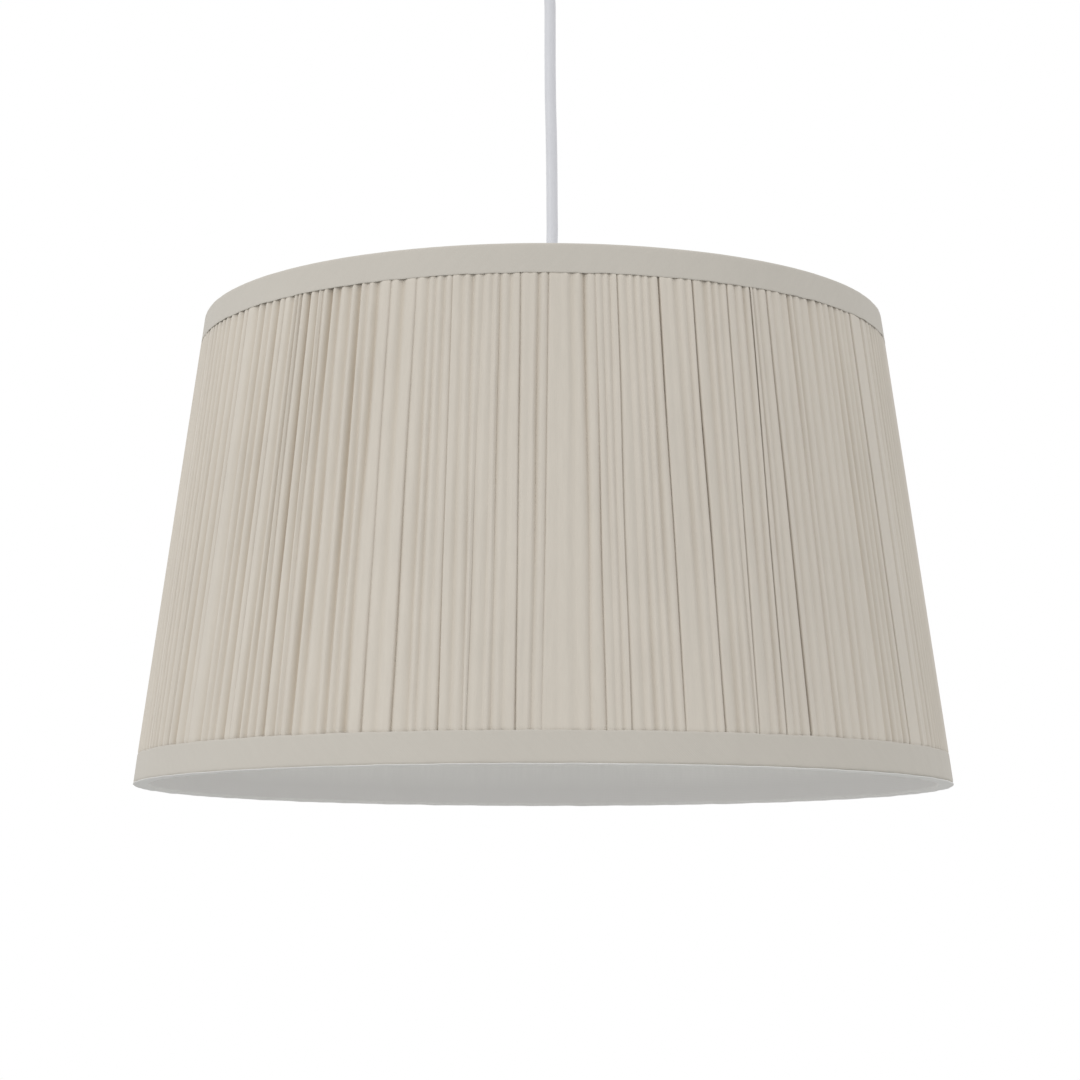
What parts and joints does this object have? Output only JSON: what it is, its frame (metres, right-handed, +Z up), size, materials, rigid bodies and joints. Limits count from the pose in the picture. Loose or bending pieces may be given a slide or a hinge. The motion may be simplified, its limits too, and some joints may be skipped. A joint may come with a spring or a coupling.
{
  "type": "lamp shade",
  "caption": "Tapered pendant lamp shade of gathered beige cotton on a wire frame with plain edge bands, hung with its bayonet lampholder on a round flex from a ceiling rose.",
  "frame": {"origin": "centre of the ceiling rose's back, on the ceiling plane", "axes": "+Z up into the ceiling, along the axis that the shade hangs on; -Y is the side seen from the front"},
  "size_m": [0.4, 0.4, 0.472],
  "materials": {
    "gathered_cotton": "matt gathered cotton",
    "band_cotton": "matt plain-weave cotton",
    "lining_cotton": "matt white cotton",
    "frame_paint": "semi-gloss white powder coat",
    "white_moulding": "glossy white moulding",
    "flex_pvc": "smooth white PVC sheath",
    "core_brown": "brown core insulation",
    "core_blue": "blue core insulation",
    "brass": "plain turned brass",
    "spring_steel": "bright spring wire"
  },
  "bodies": {
    "rose": {"rose_base": "white_moulding", "rose_terminal_block": "white_moulding", "rose_terminal_live": "brass", "rose_terminal_neutral": "brass", "rose_screw_live": "brass", "rose_screw_neutral": "brass", "rose_core_live": "core_brown", "rose_core_neutral": "core_blue", "flex_head": "flex_pvc"},
    "rose_cup": {"rose_cover": "white_moulding"},
    "hanging_flex": {"flex": "flex_pvc"},
    "lampholder": {"holder_cap": "white_moulding", "holder_barrel": "white_moulding", "contact_block": "white_moulding", "plunger_spring_1": "spring_steel", "plunger_spring_2": "spring_steel", "terminal_live": "brass", "terminal_neutral": "brass", "terminal_screw_live": "brass", "terminal_screw_neutral": "brass", "flex_tail": "flex_pvc", "core_live": "core_brown", "core_neutral": "core_blue"},
    "contact_1": {"plunger_1": "brass"},
    "contact_2": {"plunger_2": "brass"},
    "reducer": {"reducer_ring": "white_moulding"},
    "clamp_ring": {"shade_ring": "white_moulding"},
    "shade": {"top_ring": "frame_paint", "bottom_ring": "frame_paint", "strut_1": "frame_paint", "strut_2": "frame_paint", "strut_3": "frame_paint", "strut_4": "frame_paint", "strut_5": "frame_paint", "strut_6": "frame_paint", "fitter_arm_1": "frame_paint", "fitter_arm_2": "frame_paint", "fitter_arm_3": "frame_paint", "fitter_plate": "frame_paint", "gathered_cover": "gathered_cotton", "lining": "lining_cotton", "top_band": "band_cotton", "bottom_band": "band_cotton"}
  },
  "joints": [
    {"name": "flex_swing", "type": "hinge", "parent": "rose", "child": "hanging_flex", "pos_m": [0, 0, -0.033], "axis": [0, 1, 0], "range_deg": [-30, 30]},
    {"name": "holder_rock", "type": "hinge", "parent": "hanging_flex", "child": "lampholder", "pos_m": [0, 0, -0.235], "axis": [1, 0, 0], "range_deg": [-12, 12]},
    {"name": "rose_cover_turn", "type": "hinge", "parent": "rose", "child": "rose_cup", "pos_m": [0, 0, -0.0005], "axis": [0, 0, 1], "range_deg": [0, 30]},
    {"name": "plunger_1_press", "type": "slide", "parent": "lampholder", "child": "contact_1", "axis": [0, 0, 1], "range_m": [0, 0.004], "stiffness_N_per_m": 600, "springref_m": -0.002, "deforming": ["plunger_spring_1"]},
    {"name": "plunger_2_press", "type": "slide", "parent": "lampholder", "child": "contact_2", "axis": [0, 0, 1], "range_m": [0, 0.004], "stiffness_N_per_m": 600, "springref_m": -0.002, "deforming": ["plunger_spring_2"]},
    {"name": "shade_lowering", "type": "slide", "parent": "lampholder", "child": "reducer", "axis": [0, 0, -1], "range_m": [0, 0.02]},
    {"name": "shade_ring_turn", "type": "hinge", "parent": "reducer", "child": "clamp_ring", "pos_m": [0, 0, -0.2788], "axis": [0, 0, -1], "range_deg": [0, 3600]},
    {"name": "shade_turn", "type": "hinge", "parent": "reducer", "child": "shade", "pos_m": [0, 0, -0.27], "axis": [0, 0, 1], "continuous": true}
  ],
  "couplings": [
    {"joint": "shade_ring_turn", "follows": "shade_lowering", "rad_per_m": 3141.6}
  ]
}
